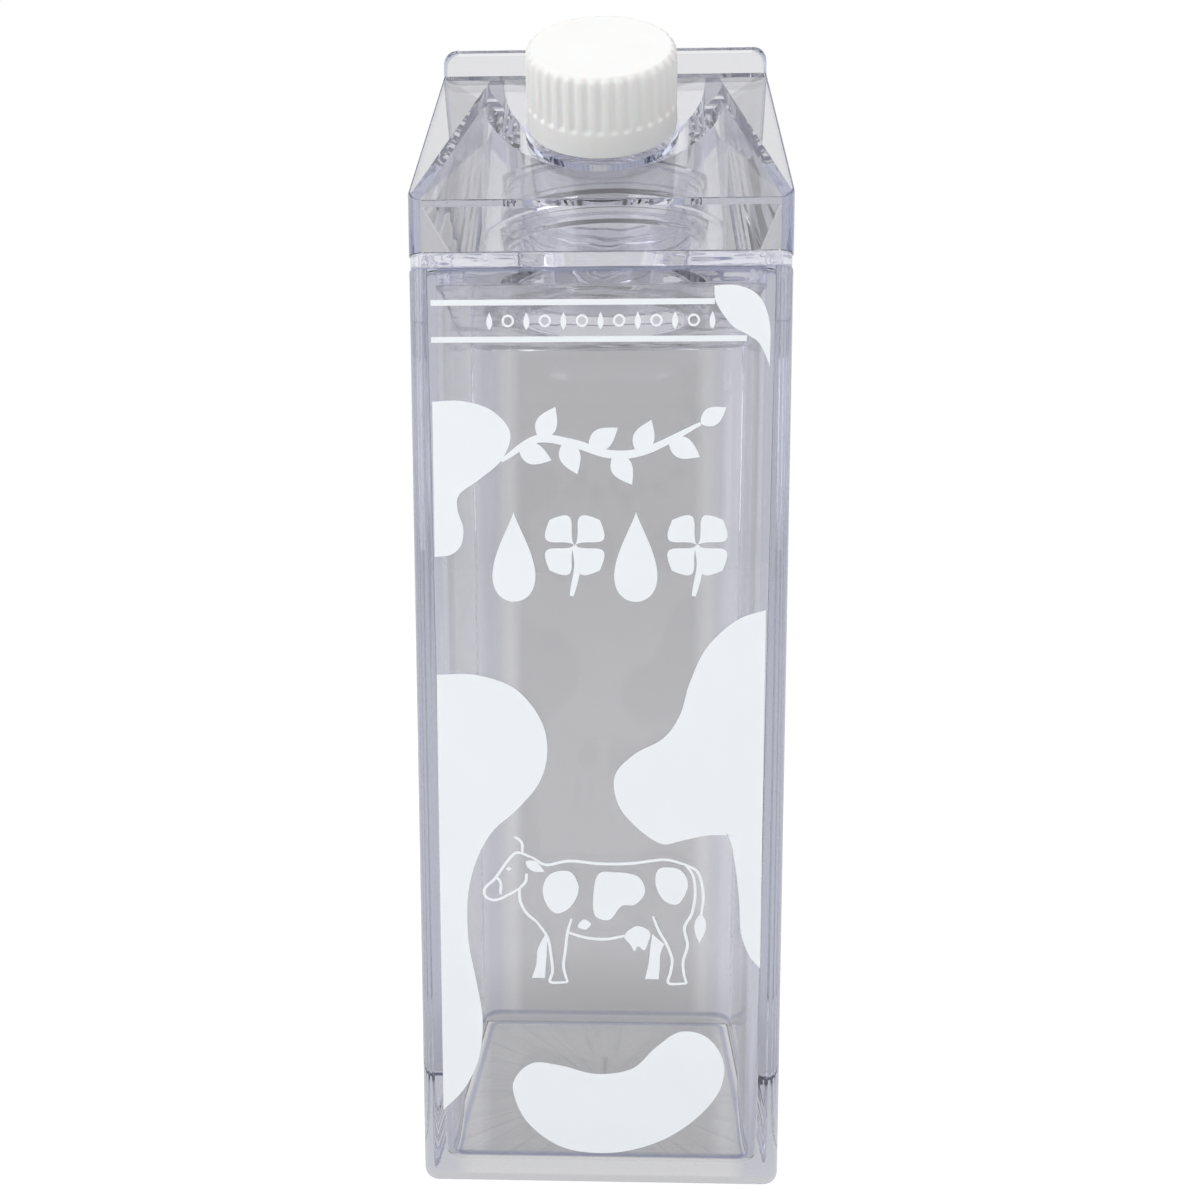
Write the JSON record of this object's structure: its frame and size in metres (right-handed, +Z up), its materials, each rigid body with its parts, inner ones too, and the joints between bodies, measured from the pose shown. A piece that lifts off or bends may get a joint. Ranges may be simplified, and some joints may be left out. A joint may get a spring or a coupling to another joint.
{
  "type": "gabled carton-shaped clear bottle",
  "caption": "Clear acrylic drinks bottle shaped like a gabled milk carton, with a white ribbed screw cap on the roof's front slope.",
  "frame": {"origin": "centre of the square underside of the box", "axes": "+Z up along the bottle, -Y out of the front face and towards the cap, +X to the right seen from the front"},
  "size_m": [0.072, 0.0757, 0.234],
  "materials": {
    "clear_acrylic": "clear injection-moulded acrylic, polished",
    "clear_acrylic_neck": "clear injection-moulded acrylic, polished",
    "clear_acrylic_roof": "clear injection-moulded acrylic, polished",
    "white_cap": "white moulded polypropylene with a satin surface"
  },
  "bodies": {
    "root": {"box": "clear_acrylic", "neck_plate": "clear_acrylic_neck", "roof": "clear_acrylic_roof", "cap": "white_cap"}
  },
  "joints": []
}
